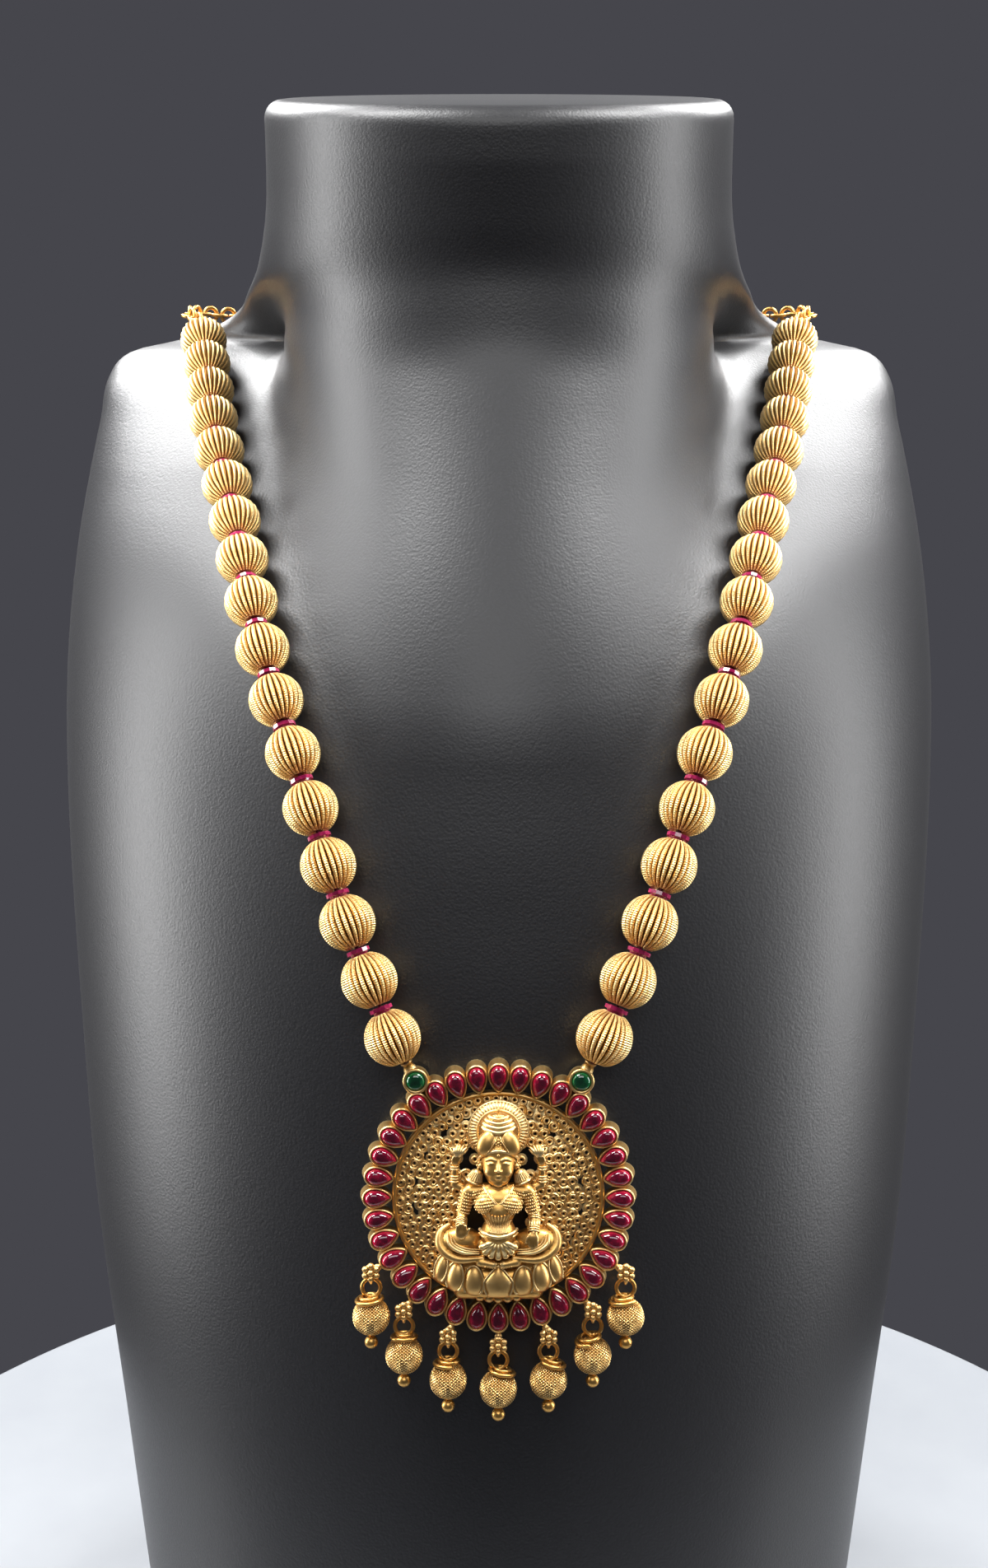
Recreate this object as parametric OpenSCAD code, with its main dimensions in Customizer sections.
// Temple jewellery necklace on a neck bust: ribbed gold beads, ruby rondelles and a round figure pendant.

/* [Neck bust] */
// Height of the bust at the front of its neck
bust_h = 350; // [320:2:380]
// Width of the bust where it is widest
bust_w = 202; // [186:2:220]
// Depth of the bust from its foot's front to its back
bust_d = 185; // [172:1:200]
// Width of the neck
neck_w = 96; // [90:1:102]
// Depth of the neck
neck_d = 90; // [86:1:94]
// Slant of the neck's top, rising to the back, in degrees
neck_slant = 7; // [0:0.5:12]
// Radius of the neck's top edge
lip_r = 4; // [2:0.5:6]

/* [Bead strings] */
// Ribbed beads on each side
beads_a_side = 17; // [14:1:17]
// Diameter of a ribbed bead
bead_d = 11; // [9:0.1:11.2]
// Bore of a ribbed bead
bead_bore = 2; // [1.9:0.1:2.4]
// Diameter of a faceted rondelle
rondelle_d = 4.6; // [3.6:0.1:5.4]
// Length of a rondelle along the thread
rondelle_l = 2.4; // [1.8:0.1:2.8]
// Facets round a rondelle's belt
rondelle_facets = 12; // [8:1:12]
// Depth that a rondelle's ends sit in the dimples of the beads
bead_dimple = 0.7; // [0.4:0.1:0.9]
// Diameter of the thread
thread_d = 0.8; // [0.5:0.1:1]
// Gap left where loose pieces seat on each other
seat_gap = 0.3; // [0.2:0.05:0.4]

/* [Neck chain] */
// Outer diameter of a round link
link_d = 4.4; // [4:0.1:5]
// Wire of a link
link_wire = 0.9; // [0.7:0.05:1]
// Play between two links
link_play = 0.25; // [0.15:0.05:0.35]
// Length of the hook between the two chains
hook_l = 13; // [11:0.5:16]
// Wire of the hook
hook_wire = 1.2; // [1:0.1:1.4]
// Diameter of the cap that ends each bead string
cap_d = 3.2; // [2.8:0.1:3.8]

/* [Pendant] */
// Height of the pendant's centre above the foot
pendant_z = 144; // [138:0.5:150]
// Outer radius of the plain ring
ring_r = 20.5; // [19.5:0.1:21.5]
// Width of the plain ring
ring_w = 0.9; // [0.7:0.05:1.2]
// Height of the plain ring above the back
ring_h = 2.6; // [2:0.1:3.2]
// Rise of the pierced dome above the back
dome_h = 4.4; // [3.6:0.1:5.2]
// Thickness of the pierced dome
dome_t = 0.8; // [0.6:0.05:1]
// Width of a piercing
pierce_d = 1.6; // [1.1:0.05:1.8]
// Distance between the centres of two piercings
pierce_pitch = 2.6; // [2.4:0.05:3]

/* [Ruby rim] */
// Pear-shaped rubies round the rim
ruby_count = 36; // [34:1:36]
// Width of a ruby
ruby_w = 3.1; // [2.7:0.05:3.15]
// Length of a ruby
ruby_l = 4.9; // [4.5:0.05:5.1]
// Height of a ruby's dome
ruby_h = 2; // [1.5:0.1:2.4]
// Wall of a setting
setting_wall = 0.38; // [0.3:0.02:0.42]
// Height of a ruby's setting
setting_h = 3.6; // [3:0.1:4]
// Tilt of a setting towards the middle, in degrees
setting_tilt = 8; // [4:1:12]
// Depth of the pocket that a stone sits in
pocket = 1; // [0.7:0.05:1.3]
// Clearance round a set stone
stone_gap = 0.12; // [0.1:0.01:0.16]

/* [Emerald lugs] */
// Angle of each lug from straight up, in degrees
lug_angle = 35; // [34.5:0.5:35.5]
// Distance of a lug from the pendant's centre
lug_r = 27.7; // [27.6:0.1:28]
// Diameter of an emerald
emerald_d = 3.6; // [3.2:0.05:3.9]
// Outer diameter of an emerald's setting
lug_d = 5; // [4.8:0.1:5.4]

/* [Drops] */
// Drops below the rim
drop_count = 7; // [5:2:7]
// Angle between two drops, in degrees
drop_step = 20; // [19:0.5:21]
// Distance of a granule flower from the pendant's centre
flower_r = 28.3; // [28:0.1:28.6]
// Width of a granule flower
flower_d = 3.7; // [3.4:0.1:4]
// Diameter of a drop's ball
ball_d = 7.2; // [6.6:0.1:7.4]
// Bore of a drop's ball
ball_bore = 1.1; // [1:0.05:1.4]
// Outer diameter of a drop's wire loop
loop_d = 4.3; // [4:0.1:4.6]
// Wire of the loops and coils
drop_wire = 0.8; // [0.7:0.05:0.85]
// Diameter of the small end ball
end_ball_d = 2.6; // [2.2:0.1:3]

/* [Hidden] */
SIDES = ["left", "right"];
function two_digits(i) = str(i < 10 ? "0" : "", i);
function bead_name(side, i) = str("bead_", SIDES[side], "_", two_digits(i));
function pin_name(i) = str("drop_pin_", i);
function ball_name(i) = str("drop_ball_", i);

antique_gold = "#c8963c";
ruby = "#b0103a";
emerald = "#0b5a34";
black_leather = "#1b1b1f";
cotton = "#7a2a3a";

// The bust's horizontal sections: height as a share of bust_h, half-width as a share of the way from the
// neck's to the widest, then centre, front and back as shares of bust_d behind the neck's front.
SECTIONS = [
    // height, width, centre, front, back
    [0, 0.68, 0.03, -0.497, 0.357],
    [0.17, 0.79, 0.045, -0.457, 0.4],
    [0.315, 0.89, 0.065, -0.416, 0.432],
    [0.43, 0.94, 0.097, -0.373, 0.454],
    [0.545, 0.98, 0.135, -0.319, 0.47],
    [0.63, 1, 0.178, -0.257, 0.481],
    [0.685, 1, 0.222, -0.195, 0.486],
    [0.73, 0.99, 0.27, -0.119, 0.492],
    [0.77, 0.97, 0.32, -0.016, 0.497],
    [0.81, 0.945, 0.373, 0.103, 0.503],
    [0.838, 0.925, 0.41, 0.2, 0.503],
    [0.855, 0.83, 0.432, 0.265, 0.497],
    [0.863, 0.6, 0.443, 0.292, 0.492],
    [0.872, 0.43, 0.42, 0.27, 0.49],
    [0.883, 0.3, 0.39, 0.216, 0.488],
    [0.895, 0.22, 0.35, 0.15, 0.487],
    [0.911, 0.11, 0.3, 0.065, 0.486],
    [0.931, 0.04, 0.265, 0.016, 0.486],
    [0.954, 0, 0.243, 0, 0.486],
    [1, 0, 0.243, 0, 0.486],
];
// The throat's swell between the two strings, where the chest sweeps up into the neck: height as a share of
// bust_h, how far it stands out as a share of neck_d, and the turn from the front at which it ends.
THROAT = [
    // height, out, edge
    [0.56, 0, 17],
    [0.63, 0.03, 20],
    [0.671, 0.075, 25],
    [0.714, 0.14, 30],
    [0.747, 0.19, 35],
    [0.782, 0.215, 42],
    [0.81, 0.19, 49],
    [0.835, 0.14, 56],
    [0.855, 0.095, 62],
    [0.875, 0.07, 66],
    [0.895, 0.052, 68],
    [0.915, 0.022, 69],
    [0.94, 0, 70],
];
bust_sides = 36;
back_square = 2.6;
tall_span = 0.05;
neck_root = 0.685;
neck_grown = 0.785;
neck_blend = 0.4;
slant_from = 0.94;
slant_full = 0.985;

function lerp(a, b, t) = a + (b - a) * t;
function clamp01(t) = max(0, min(1, t));
function unit(v) = v / norm(v);

// Smooth curve through one column of a table whose first column is the place.
function table_slope(table, col, i) =
    let (lo = max(i - 1, 0), hi = min(i + 1, len(table) - 1))
    (table[hi][col] - table[lo][col]) / (table[hi][0] - table[lo][0]);
function span_of(table, at, i = 0) =
    i >= len(table) - 2 || at < table[i + 1][0] ? i : span_of(table, at, i + 1);
function smooth_at(table, col, at) =
    let (
        i = span_of(table, at),
        h = table[i + 1][0] - table[i][0],
        t = clamp01((at - table[i][0]) / h),
        rise_a = table_slope(table, col, i) * h,
        rise_b = table_slope(table, col, i + 1) * h
    )
    (2 * pow(t, 3) - 3 * pow(t, 2) + 1) * table[i][col] + (pow(t, 3) - 2 * pow(t, 2) + t) * rise_a
    + (3 * pow(t, 2) - 2 * pow(t, 3)) * table[i + 1][col] + (pow(t, 3) - pow(t, 2)) * rise_b;

function body_half(s) = lerp(neck_w, bust_w, smooth_at(SECTIONS, 1, s)) / 2;
function body_centre(s) = bust_d * smooth_at(SECTIONS, 2, s);
function body_front(s) = bust_d * smooth_at(SECTIONS, 3, s);
function body_back(s) = bust_d * smooth_at(SECTIONS, 4, s);

function body_deep(a, s) = cos(a) > 0 ? body_centre(s) - body_front(s) : body_back(s) - body_centre(s);

// Distance from a section's centre to the torso, a turned from the front: an oval before, squarer behind.
function torso_reach(a, s) =
    let (power = lerp(2, back_square, clamp01(0.5 - 3 * cos(a)) * clamp01(smooth_at(SECTIONS, 1, s))))
    pow(pow(abs(sin(a)) / body_half(s), power) + pow(abs(cos(a)) / body_deep(a, s), power), -1 / power);
// The same to the neck's oval, whose own centre lies further forward.
function neck_reach(a, s) =
    let (
        ahead = body_centre(s) - neck_d / 2,
        square = pow(2 * sin(a) / neck_w, 2) + pow(2 * cos(a) / neck_d, 2),
        half = -ahead * cos(a) * pow(2 / neck_d, 2),
        rest = pow(2 * ahead / neck_d, 2) - 1
    )
    (-half + sqrt(max(0, half * half - square * rest))) / square;
function throat_out(a, s) =
    s <= THROAT[0][0] || s >= THROAT[len(THROAT) - 1][0] ? 0
    : let (t = clamp01(acos(cos(a)) / smooth_at(THROAT, 2, s)))
        neck_d * smooth_at(THROAT, 1, s) * pow(1 - t * t, 1.5);
// Torso and neck run into each other in a soft hollow.
function bust_reach(a, s) =
    let (
        torso = torso_reach(a, s),
        neck = s < neck_root ? 0 : neck_reach(a, s),
        longer = max(torso, neck),
        blend = max(0.001, neck_blend * longer * clamp01((s - neck_root) / (neck_grown - neck_root))),
        near = max(0, blend - abs(torso - neck)) / blend
    )
    longer + near * near * blend / 4 + throat_out(a, s);
// A point of the bust's skin: a turned from the front, s as a share of the height, drawn in by inset.
function skin(a, s, inset = 0) =
    let (
        r = bust_reach(a, s) - inset,
        y = body_centre(s) - r * cos(a),
        slant = tan(neck_slant) * clamp01((s - slant_from) / (slant_full - slant_from))
    )
    [r * sin(a), y, bust_h * s + slant * y];
function skin_normal(a, s) =
    unit(cross(skin(a + 0.5, s) - skin(a - 0.5, s), skin(a, s + 0.002) - skin(a, s - 0.002)));

// A closed skin over rings with the same number of points, each counted leftward seen from the last ring's
// side, flat at both ends, with each patch split across its shorter diagonal.
module ring_skin(rings) {
    n = len(rings[0]);
    points = [for (ring = rings) each ring];
    walls = [for (k = [0:len(rings) - 2]) for (j = [0:n - 1]) each
        let (a = k * n + j, b = k * n + (j + 1) % n)
        norm(points[a] - points[b + n]) < norm(points[b] - points[a + n]) + 0.001
            ? [[a, b + n, b], [a, a + n, b + n]]
            : [[a, a + n, b], [b, a + n, b + n]]];
    foot = [for (j = [0:n - 1]) j];
    top = [for (j = [n - 1:-1:0]) (len(rings) - 1) * n + j];
    polyhedron(points, concat(walls, [foot, top]), convexity = 6);
}

// Neck bust
lip_levels = [for (a = [0, 30, 60, 90]) a];
function bust_levels() = [for (i = [0:len(SECTIONS) - 2]) each
    let (lo = SECTIONS[i][0], hi = SECTIONS[i + 1][0])
    hi - lo > tall_span ? [lo, (lo + hi) / 2] : [lo]];
// Turns of a ring's points, closer together at the two sides than before and behind.
side_crowd = 1.3;
function ring_turn(j) = let (t = 360 * j / bust_sides) atan2(side_crowd * sin(t), cos(t));
function bust_ring(s, inset = 0) = [for (j = [0:bust_sides - 1]) skin(ring_turn(j), s, inset)];
module neck_bust() {
    body_rings = [for (s = bust_levels()) bust_ring(s)];
    lip_rings = [for (a = lip_levels)
        bust_ring(1 - lip_r * (1 - sin(a)) / bust_h, lip_r * (1 - cos(a)))];
    color(black_leather) ring_skin(concat(body_rings, lip_rings));
}

// Where the pendant lies on the chest
pendant_s = pendant_z / bust_h;
chest_probe = 20 / bust_h;
pendant_lean = atan((body_front(pendant_s + chest_probe) - body_front(pendant_s - chest_probe))
    / (2 * chest_probe * bust_h));
pendant_at = [0, body_front(pendant_s) - seat_gap, pendant_z];
// A point of the pendant's own frame (right, up, out) in the bust's frame.
function on_chest(p) = pendant_at + [
    p[0],
    p[1] * sin(pendant_lean) - p[2] * cos(pendant_lean),
    p[1] * cos(pendant_lean) + p[2] * sin(pendant_lean)
];
module on_pendant() {
    translate(pendant_at) rotate([90 - pendant_lean, 0, 0]) children();
}

// The route of the right-hand string over the bust: angle from the front, height as a share of bust_h, and
// whether a bead (1) or the chain (0) rides there.
ROUTE = [
    // angle, height, bead
    [12.8, 0.4946, 1],
    [19.3, 0.5566, 1],
    [25.2, 0.6157, 1],
    [31.4, 0.6686, 1],
    [37.5, 0.7157, 1],
    [45.5, 0.7574, 1],
    [54.3, 0.7969, 1],
    [64.4, 0.8309, 1],
    [70.7, 0.8474, 1],
    [77, 0.859, 1],
    [84, 0.866, 1],
    [90, 0.8695, 0.5],
    [94, 0.872, 0.1],
    [100, 0.876, 0],
    [112, 0.879, 0],
    [180, 0.88, 0],
];
bead_lift = bead_d / 2 + seat_gap;
chain_lift = link_d / 2 + seat_gap;
lug_rise = 0.4;
setting_top = setting_h + lug_rise;
lug_level = 1.9;
lug_spot = lug_r * [sin(lug_angle), cos(lug_angle), 0] + [0, 0, lug_level];
lug_point = on_chest(lug_spot);
route_points = concat(
    [lug_point],
    [for (row = ROUTE)
        skin(row[0], row[1]) + skin_normal(row[0], row[1]) * lerp(chain_lift, bead_lift, row[2])]
);
last_point = len(route_points) - 1;
function mirrored(p) = [-p[0], p[1], p[2]];
// Points before the first and after the last carry the curve on.
function knot(i) =
    i < 0 ? 2 * route_points[0] - route_points[1]
    : i > last_point ? mirrored(route_points[2 * last_point - i])
    : route_points[i];
function route(t) =
    let (i = min(floor(t), last_point - 1), u = t - i)
    let (a = knot(i - 1), b = knot(i), c = knot(i + 1), d = knot(i + 2))
    (2 * b + (c - a) * u + (2 * a - 5 * b + 4 * c - d) * u * u + (3 * b - a - 3 * c + d) * u * u * u) / 2;

route_parts = 10;
route_samples = [for (k = [0:last_point * route_parts]) route(k / route_parts)];
function run_lengths(k = 0, sum = 0) =
    k > last_point * route_parts ? []
    : let (step = k == 0 ? 0 : norm(route_samples[k] - route_samples[k - 1]))
        concat([[sum + step, k / route_parts]], run_lengths(k + 1, sum + step));
ROUTE_RUN = run_lengths();
route_length = ROUTE_RUN[len(ROUTE_RUN) - 1][0];
// The route's point a length l from the lug, and its direction there.
function at_length(l) = route(lookup(l, ROUTE_RUN));
function heading(l, reach) = unit(at_length(l + reach) - at_length(l - reach));

// Puts children, drawn along Z, at a length on the string: roll turns them about it, and reach is how far to
// each side they follow its direction.
module on_string(l, side, roll = 0, reach = 1) {
    p = at_length(l);
    z = heading(l, reach);
    x = unit(cross([0, 0, 1], z));
    y = cross(z, x);
    frame = concat([for (k = [0:2]) [x[k], y[k], z[k], p[k]]], [[0, 0, 0, 1]]);
    mirror([side == 0 ? 1 : 0, 0, 0]) multmatrix(frame) rotate([0, 0, roll]) children();
}

// Lengths along the string
lug_tube_l = 1.7;
lug_mouth_d = 2.3;
bead_gap = 0.15;
bead_flat = 0.25;
end_flat = bead_d / 2 - bead_flat;
first_bead = lug_d / 2 + lug_tube_l + seat_gap + end_flat;
bead_pitch = 2 * end_flat - 2 * bead_dimple + rondelle_l + 2 * bead_gap;
last_bead = first_bead + bead_pitch * (beads_a_side - 1);

// A round bead, flattened a little at its two drilled ends, with a dimple that seats the rondelles.
module bead() {
    color(antique_gold) difference() {
        intersection() {
            sphere(d = bead_d, $fn = 72);
            cube([2 * bead_d, 2 * bead_d, 2 * end_flat], center = true);
        }
        cylinder(h = 2 * bead_d, d = bead_bore, center = true, $fn = 36);
        for (turn = [0, 180]) rotate([turn, 0, 0]) translate([0, 0, end_flat - bead_dimple])
            cylinder(h = bead_d, d = rondelle_d + 2 * seat_gap, $fn = 36);
    }
}

module bead_on_string(i, side) {
    on_string(first_bead + bead_pitch * (i - 1), side, reach = bead_d * 0.4) bead();
}

// Rondelles: a belt of flat facets between two bevels and two tables
rondelle_table = 0.62;
rondelle_belt = 0.3;
module rondelle() {
    r = rondelle_d / 2;
    h = rondelle_l / 2;
    intersection() {
        rotate_extrude($fn = 48) polygon([
            [bead_bore / 2, -h],
            [r * rondelle_table, -h],
            [r, -h * rondelle_belt],
            [r, h * rondelle_belt],
            [r * rondelle_table, h],
            [bead_bore / 2, h]
        ]);
        cylinder(h = 2 * rondelle_l, r = r * 0.99, center = true, $fn = rondelle_facets);
    }
}
module rondelles(side) {
    color(ruby) for (i = [1:beads_a_side - 1])
        on_string(first_bead + bead_pitch * (i - 0.5), side) rondelle();
}

// A tube of even sides swept along points, closed by flat ends.
module sweep(points, d, sides) {
    n = len(points);
    rings = [for (k = [0:n - 1])
        let (
            z = unit(points[min(k + 1, n - 1)] - points[max(k - 1, 0)]),
            x = unit(cross(abs(z[2]) > 0.95 ? [0, 1, 0] : [0, 0, 1], z)),
            y = cross(z, x)
        )
        [for (j = [0:sides - 1]) points[k] + d / 2 * (x * cos(360 * j / sides) + y * sin(360 * j / sides))]];
    ring_skin(rings);
}

// Thread
cap_l = 3.4;
cap_wall = 0.7;
thread_start = lug_d / 2 + seat_gap;
cap_near = last_bead + end_flat + seat_gap;
thread_end = cap_near + cap_l - cap_wall - seat_gap;
thread_steps = ceil((thread_end - thread_start) / (bead_pitch / 3));
module thread(side) {
    points = [for (k = [0:thread_steps]) at_length(lerp(thread_start, thread_end, k / thread_steps))];
    color(cotton) mirror([side == 0 ? 1 : 0, 0, 0]) sweep(points, thread_d, 6);
}

// Chain
hook_bend = (hook_l - hook_wire) / 4;
link_mean = (link_d - link_wire) / 2;
link_pitch = 2 * link_mean - link_wire - link_play;
chain_start = cap_near + cap_l + link_d / 2 - link_wire;
chain_end = route_length - 2 * hook_bend - (link_mean - link_wire / 2) + hook_wire / 2 + link_play;
link_steps = ceil((chain_end - chain_start) / link_pitch);
link_step = (chain_end - chain_start) / link_steps;
// Links stand across each other, the last one across the hook.
function link_roll(k) = (link_steps - k) % 2 == 0 ? 0 : 90;
module link() {
    rotate([90, 0, 0]) rotate_extrude($fn = 48) translate([link_mean, 0]) circle(d = link_wire, $fn = 24);
}
module end_cap() {
    difference() {
        union() {
            cylinder(h = cap_l, d1 = cap_d, d2 = cap_d * 0.7, $fn = 36);
            translate([0, 0, cap_l + link_d / 2 - link_wire]) rotate([0, 0, link_roll(0)]) link();
        }
        translate([0, 0, -1]) cylinder(h = cap_l - cap_wall + 1, d = thread_d + 2 * seat_gap, $fn = 36);
    }
}
module chain(side) {
    color(antique_gold) {
        on_string(cap_near, side) end_cap();
        for (k = [1:link_steps]) on_string(chain_start + link_step * k, side, link_roll(k)) link();
    }
}

// Clasp: a plain hook bent in an S
hook_turn = 250;
hook_sides = 6;
hook_steps = 12;
module clasp() {
    nape = at_length(route_length);
    half = [for (k = [0:hook_steps])
        let (a = 180 - hook_turn * k / hook_steps)
        [hook_bend * (1 + cos(a)), hook_bend * sin(a)]];
    arc = [for (k = [1:hook_steps]) half[k]];
    flat = concat([for (k = [len(arc) - 1:-1:0]) -arc[k]], [[0, 0]], arc);
    color(antique_gold) sweep([for (q = flat) nape + [q[0], 0, q[1]]], hook_wire, hook_sides);
}

// Outline of a pear: round at the top, drawn down to a tip, grown by grow all round.
pear_steps = 6;
function pear(w, l, grow = 0) =
    let (r = w / 2, cy = l / 2 - r, taper = asin(r / (l - r)))
    concat(
        [[0, cy - (r + grow) / sin(taper)]],
        [for (k = [0:pear_steps]) let (a = -taper + (180 + 2 * taper) * k / pear_steps)
            [(r + grow) * cos(a), cy + (r + grow) * sin(a)]]
    );
function lifted(outline, z, size = 1) = [for (p = outline) [p[0] * size, p[1] * size, z]];

// Rim of settings
rim_gap = 0.35;
ruby_r = ring_r + ruby_l / 2 + rim_gap;
module around_rim() {
    for (k = [0:ruby_count - 1]) rotate([0, 0, 360 * k / ruby_count])
        translate([0, ruby_r, setting_h]) rotate([setting_tilt, 0, 0]) children();
}
setting_draft = 0.06;
module setting() {
    outline = pear(ruby_w, ruby_l, stone_gap + setting_wall);
    inside = pear(ruby_w, ruby_l, stone_gap);
    difference() {
        ring_skin([lifted(outline, -setting_h, 1 + setting_draft), lifted(outline, 0)]);
        ring_skin([lifted(inside, -pocket), lifted(inside, 1)]);
    }
}
module ruby_stone() {
    outline = pear(ruby_w, ruby_l);
    bed = -pocket + stone_gap;
    ring_skin([
        lifted(outline, bed),
        lifted(outline, bed + ruby_h * 0.7, 0.86),
        lifted(outline, bed + ruby_h, 0.4)
    ]);
}
module rubies() {
    color(ruby) on_pendant() around_rim() ruby_stone();
}

// Emeralds
lug_pocket_d = emerald_d + 2 * stone_gap;
emerald_rise = 1.5;
module at_lugs() {
    for (turn = [-lug_angle, lug_angle]) rotate([0, 0, turn]) translate([0, lug_r, 0]) children();
}
module emeralds() {
    bed = setting_top - pocket + stone_gap;
    color(emerald) on_pendant() at_lugs() translate([0, 0, bed]) intersection() {
        cylinder(h = emerald_rise + 0.2, d = emerald_d, $fn = 48);
        translate([0, 0, emerald_rise - emerald_d * 0.62]) sphere(d = emerald_d * 1.24, $fn = 48);
    }
}

// Lugs: a round setting with a short drawn tube that takes the string's end
lug_root_d = lug_d * 0.62;
lug_draft = 1.04;
module lug(side) {
    way = unit(at_length(lug_d / 2 + lug_tube_l) - lug_point);
    local = [
        way[0],
        way[1] * sin(pendant_lean) + way[2] * cos(pendant_lean),
        -way[1] * cos(pendant_lean) + way[2] * sin(pendant_lean)
    ];
    spot = [lug_spot[0], lug_spot[1], 0];
    mouth = lug_d / 2 + lug_tube_l - lug_mouth_d / 2;
    mirror([side == 0 ? 1 : 0, 0, 0]) difference() {
        union() {
            translate(spot + [0, 0, lug_rise])
                cylinder(h = setting_top - lug_rise, d1 = lug_d * lug_draft, d2 = lug_d, $fn = 14);
            hull() {
                translate(lug_spot + local * lug_d * 0.4) sphere(d = lug_root_d, $fn = 7);
                translate(lug_spot + local * mouth) sphere(d = lug_mouth_d, $fn = 7);
            }
        }
        translate(spot + [0, 0, setting_top - pocket]) cylinder(h = 2 * pocket, d = lug_pocket_d, $fn = 14);
        hull() for (far = [0, 2 * lug_tube_l])
            translate(lug_spot + local * (thread_start - seat_gap + far))
                sphere(d = thread_d + 2 * seat_gap, $fn = 5);
    }
}

// Pierced dome
dome_sink = 0.9;
dome_edge = ring_h - dome_sink;
dome_rise = dome_h - dome_edge;
dome_r = (pow(ring_r, 2) + pow(dome_rise, 2)) / (2 * dome_rise);
function dome_level(r) = dome_edge - dome_r + dome_rise + sqrt(pow(dome_r, 2) - r * r);
dome_turns = 30;
module dome_shell() {
    stops = [for (share = [0, 0.55, 1]) (ring_r - ring_w / 2) * share];
    rotate_extrude($fn = dome_turns) polygon(concat(
        [for (r = stops) [r, dome_level(r)]],
        [for (k = [len(stops) - 1:-1:0]) [stops[k], dome_level(stops[k]) - dome_t]]
    ));
}
// Stretches of the dome that the figure and its seat cover, as shares of ring_r about the middle line.
COVERED = [
    // half-width, lower edge, upper edge
    [0.61, -1, -0.29],
    [0.51, -0.29, -0.16],
    [0.41, -0.16, 0.53],
    [0.51, 0.13, 0.55],
];
// Oval openings on both sides of the figure, as shares of ring_r: middle, width and height.
OVALS = [
    // right, up, width, height
    [0.302, 0.38, 0.127, 0.205],
    [0.239, -0.239, 0.098, 0.195],
];
halo_r = 0.278 * ring_r;
halo_y = 0.63 * ring_r;
function is_covered(p) =
    let (right = abs(p[0]) / ring_r, up = p[1] / ring_r)
    len([for (row = COVERED) if (right < row[0] && up > row[1] && up < row[2]) row]) > 0
    || norm(p - [0, halo_y]) < halo_r + pierce_d / 2;
pierce_edge = ring_r - ring_w - pierce_d * 0.62;
pierce_rows = ceil(ring_r / (pierce_pitch * cos(30)));
pierce_cols = ceil(ring_r / pierce_pitch);
module piercings() {
    for (row = [-pierce_rows:pierce_rows]) for (col = [-pierce_cols:pierce_cols]) {
        p = pierce_pitch * [col + (row % 2 == 0 ? 0 : 0.5), row * cos(30)];
        if (norm(p) < pierce_edge && !is_covered(p)) translate(p) cylinder(h = dome_h, d = pierce_d, $fn = 5);
    }
    for (row = OVALS) for (x = [-1, 1]) translate(ring_r * [x * row[0], row[1]])
        scale(ring_r * [row[2], row[3], 1]) cylinder(h = dome_h, d = 1, $fn = 8);
}

// Figure: a seated four-armed goddess on a lotus, in half round on the dome, all in shares of ring_r.
// The last column is 1 for a form that stands on both sides.
ROUNDS = [
    // right, up, out, half-width, half-height, half-depth, sides, pair
    [0, 0.337, 0.322, 0.151, 0.22, 0.156, 12, 0],      // head
    [0, 0.498, 0.288, 0.185, 0.176, 0.137, 12, 0],     // hair
    [0, -0.029, 0.312, 0.239, 0.146, 0.127, 10, 0],    // chest
    [0.112, -0.063, 0.371, 0.107, 0.093, 0.078, 8, 1], // bust
    [0.385, 0.444, 0.288, 0.073, 0.083, 0.063, 6, 1],  // buds in the raised hands
];
LIMBS = [
    // right, up, out, radius, right, up, out, radius, sides, pair
    [-0.244, 0.054, 0.298, 0.093, 0.244, 0.054, 0.298, 0.093, 8, 0], // shoulders
    [0, -0.146, 0.302, 0.146, 0, -0.371, 0.312, 0.151, 8, 0],        // waist and hips
    [0, 0.073, 0.317, 0.073, 0, 0.166, 0.317, 0.068, 6, 0],          // neck
    [0.205, 0.283, 0.293, 0.044, 0.244, 0.161, 0.302, 0.063, 6, 1],  // ear tassels
    [0.307, 0.049, 0.302, 0.073, 0.341, -0.156, 0.322, 0.061, 6, 1], // front upper arms
    [0.341, -0.156, 0.322, 0.059, 0.341, -0.39, 0.439, 0.044, 6, 1], // front forearms
    [0.312, 0.068, 0.254, 0.049, 0.405, 0.166, 0.254, 0.041, 6, 1],  // rear upper arms
    [0.405, 0.166, 0.254, 0.041, 0.4, 0.351, 0.283, 0.039, 6, 1],    // rear forearms
    [0.215, -0.459, 0.322, 0.127, 0.4, -0.483, 0.341, 0.132, 8, 1],  // thighs
    [0.39, -0.556, 0.371, 0.078, 0.068, -0.605, 0.39, 0.059, 6, 1],  // shins
    [-0.293, -0.585, 0.302, 0.093, 0.293, -0.585, 0.302, 0.093, 6, 0], // lap
    [-0.42, -0.751, 0.254, 0.141, 0.42, -0.751, 0.254, 0.141, 8, 0],   // lotus
    [-0.322, -0.893, 0.215, 0.073, 0.322, -0.893, 0.215, 0.073, 8, 0], // lotus foot
];
function sides_of(pair) = pair == 1 ? [-1, 1] : [1];
module round_form(p, size, sides = 8) {
    translate(ring_r * p) scale(ring_r * size) sphere(r = 1, $fn = sides);
}
module limb(a, ra, b, rb, sides = 6) {
    hull() {
        translate(ring_r * a) sphere(r = ring_r * ra, $fn = sides);
        translate(ring_r * b) sphere(r = ring_r * rb, $fn = sides);
    }
}
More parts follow.
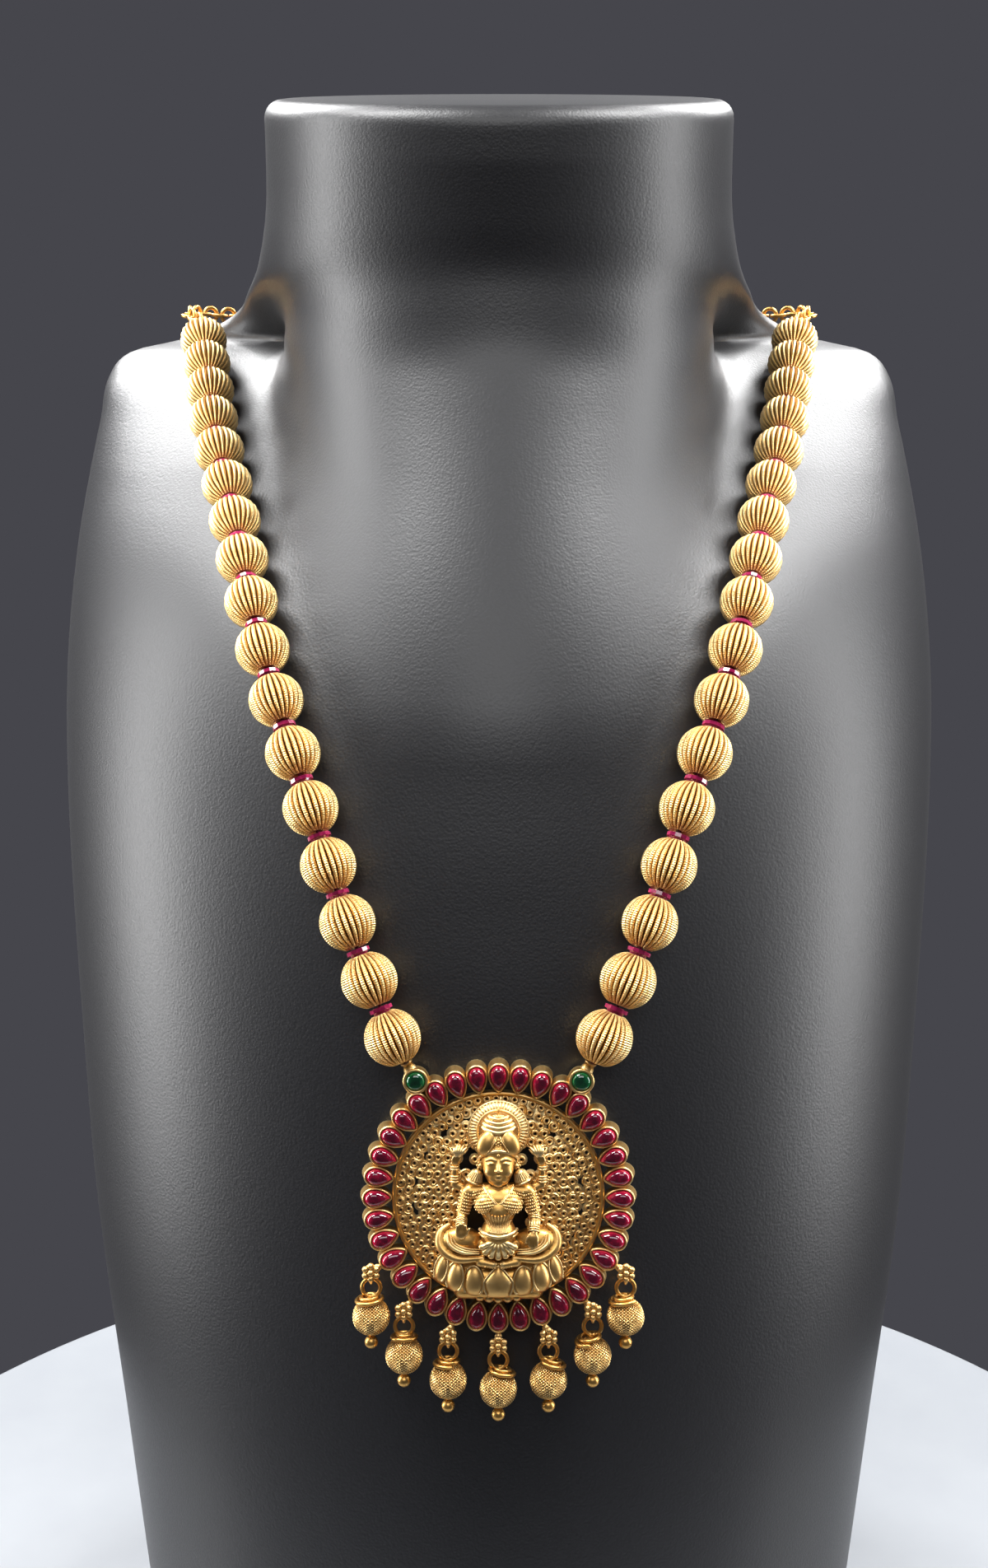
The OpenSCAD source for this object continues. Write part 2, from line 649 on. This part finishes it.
module body() {
    for (row = ROUNDS) for (x = sides_of(row[7]))
        round_form([x * row[0], row[1], row[2]], [row[3], row[4], row[5]], row[6]);
    for (row = LIMBS) for (x = sides_of(row[9]))
        limb([x * row[0], row[1], row[2]], row[3], [x * row[4], row[5], row[6]], row[7], row[8]);
}
// Halo: a disc with raised rays over the upper part, open below where the neck stands before it
halo_rays = 13;
halo_spread = 250;
halo_back = 0.176;
halo_t = 0.107;
halo_cut = 0.18;
ray_w = 0.03;
ray_from = 0.165;
module halo() {
    difference() {
        translate([0, halo_y, halo_back * ring_r]) cylinder(h = halo_t * ring_r, r = halo_r, $fn = 20);
        translate([-halo_r, halo_y - halo_r - halo_cut * ring_r / 2, 0])
            cube([2 * halo_r, halo_cut * ring_r, 2 * dome_h]);
    }
    for (k = [0:halo_rays - 1])
        translate([0, halo_y, (halo_back + halo_t - 0.01) * ring_r])
            rotate([0, 0, 90 - halo_spread / 2 + halo_spread * k / (halo_rays - 1)])
                translate([ray_from * ring_r, -ray_w * ring_r / 2, 0])
                    cube([halo_r - (ray_from + 0.005) * ring_r, ray_w * ring_r, 0.04 * ring_r]);
}
module crown() {
    for (tier = [0:2]) translate([0, halo_y + 0.071 * ring_r * tier, 0.185 * ring_r])
        scale(ring_r * [1, 0.62, 1])
            cylinder(h = 0.224 - 0.034 * tier, r1 = 0.112 - 0.02 * tier, r2 = 0.102 - 0.02 * tier, $fn = 8);
}
module skirt_pleats() {
    for (k = [-2:2])
        limb([0.029 * k, -0.4, 0.429], 0.024, [0.107 * k, -0.537 + 0.022 * k * k, 0.439], 0.039, 5);
}
module lotus_petals() {
    for (k = [-3:3])
        round_form([0.166 * k, -0.776 + 0.007 * k * k, 0.361 - 0.012 * abs(k)], [0.093, 0.132, 0.073]);
    for (k = [-2:2])
        round_form([0.166 * k, -0.927 + 0.013 * k * k, 0.288], [0.093, 0.046, 0.044], 6);
}

// Granule flowers with the eyes that the drops hang from
flower_level = 4.6;
granule_d = flower_d / 3.1;
eye_d = 2.4;
eye_wire = 0.6;
eye_drop = 1.5;
eye_level = 3.4;
function drop_angle(i) = drop_step * (i - (drop_count + 1) / 2);
function flower_spot(i) = flower_r * [sin(drop_angle(i)), -cos(drop_angle(i)), 0];
flower_lobes = 6;
module flower() {
    outline = [for (k = [0:2 * flower_lobes - 1])
        let (a = 180 * k / flower_lobes, r = k % 2 == 1 ? flower_d * 0.36 : flower_d / 2)
        r * [cos(a), sin(a)]];
    translate([0, 0, flower_level - 0.45]) linear_extrude(0.8) polygon(outline);
    translate([0, 0, flower_level]) cylinder(h = 0.8, d1 = granule_d * 1.3, d2 = granule_d * 0.6, $fn = 6);
    translate([0, -eye_drop, eye_level]) rotate([0, 90, 0])
        rotate_extrude($fn = 8) translate([(eye_d - eye_wire) / 2, 0]) circle(d = eye_wire, $fn = 4);
}
module flower_solder(i) {
    rotate([0, 0, drop_angle(i)]) translate([-0.6, -flower_r + 1, flower_level - 1.5]) cube([1.2, 1.4, 1.3]);
}

module pendant() {
    color(antique_gold) on_pendant() {
        difference() {
            union() {
                dome_shell();
                rotate_extrude($fn = dome_turns) translate([ring_r - ring_w, 0]) square([ring_w, ring_h]);
            }
            translate([0, 0, dome_t / 2]) piercings();
        }
        around_rim() setting();
        for (side = [0, 1]) lug(side);
        halo();
        crown();
        body();
        skirt_pleats();
        lotus_petals();
        for (i = [1:drop_count]) {
            translate(flower_spot(i)) flower();
            flower_solder(i);
        }
    }
}

// Drops: drawn from the flower's centre down, in the pendant's frame
loop_mean = (loop_d - drop_wire) / 2;
loop_y = -eye_drop - loop_mean;
loop_foot = loop_y - loop_mean;
ball_y = -8.9;
coil_wire = drop_wire + 0.1;
// The coil's turns from the outer one in: radius, and height above the ball's centre.
coil_gap = 0.14;
coil_touch = ball_d / 2 + coil_wire / 2 + coil_gap;
coil_turns = [2.4, 1.75, 1.1];
collar_r = 1;
collar_h = 0.75;
end_ball_gap = 0.1;
end_ball_z = -ball_d / 2 - end_ball_d / 2 - end_ball_gap;
module at_drop(i) {
    on_pendant() translate(flower_spot(i) + [0, 0, eye_level]) children();
}
module drop_pin(i) {
    color(antique_gold) at_drop(i) {
        translate([0, loop_y, 0])
            rotate_extrude($fn = 48) translate([loop_mean, 0]) circle(d = drop_wire, $fn = 24);
        translate([0, ball_y, 0]) rotate([-90, 0, 0]) {
            for (r = coil_turns) translate([0, 0, sqrt(pow(coil_touch, 2) - r * r)])
                rotate_extrude($fn = 48) translate([r, 0]) circle(d = coil_wire, $fn = 24);
            translate([0, 0, ball_d / 2 + coil_gap]) cylinder(h = collar_h, r = collar_r, $fn = 36);
            translate([0, 0, end_ball_z])
                cylinder(h = loop_foot - ball_y - end_ball_z, d = drop_wire, $fn = 24);
            translate([0, 0, end_ball_z]) sphere(d = end_ball_d, $fn = 48);
        }
    }
}
module drop_ball(i) {
    color(antique_gold) at_drop(i) translate([0, ball_y, 0]) rotate([-90, 0, 0]) difference() {
        sphere(d = ball_d, $fn = 60);
        cylinder(h = 2 * ball_d, d = ball_bore, center = true, $fn = 24);
    }
}

neck_bust();
pendant();
rubies();
emeralds();
for (side = [0, 1]) for (i = [1:beads_a_side])
    bead_on_string(i, side);
rondelles(0);  // rondelles_left
rondelles(1);  // rondelles_right
thread(0);  // thread_left
thread(1);  // thread_right
for (i = [1:drop_count]) drop_pin(i);
for (i = [1:drop_count]) drop_ball(i);
chain(0);  // chain_left
chain(1);  // chain_right
clasp();
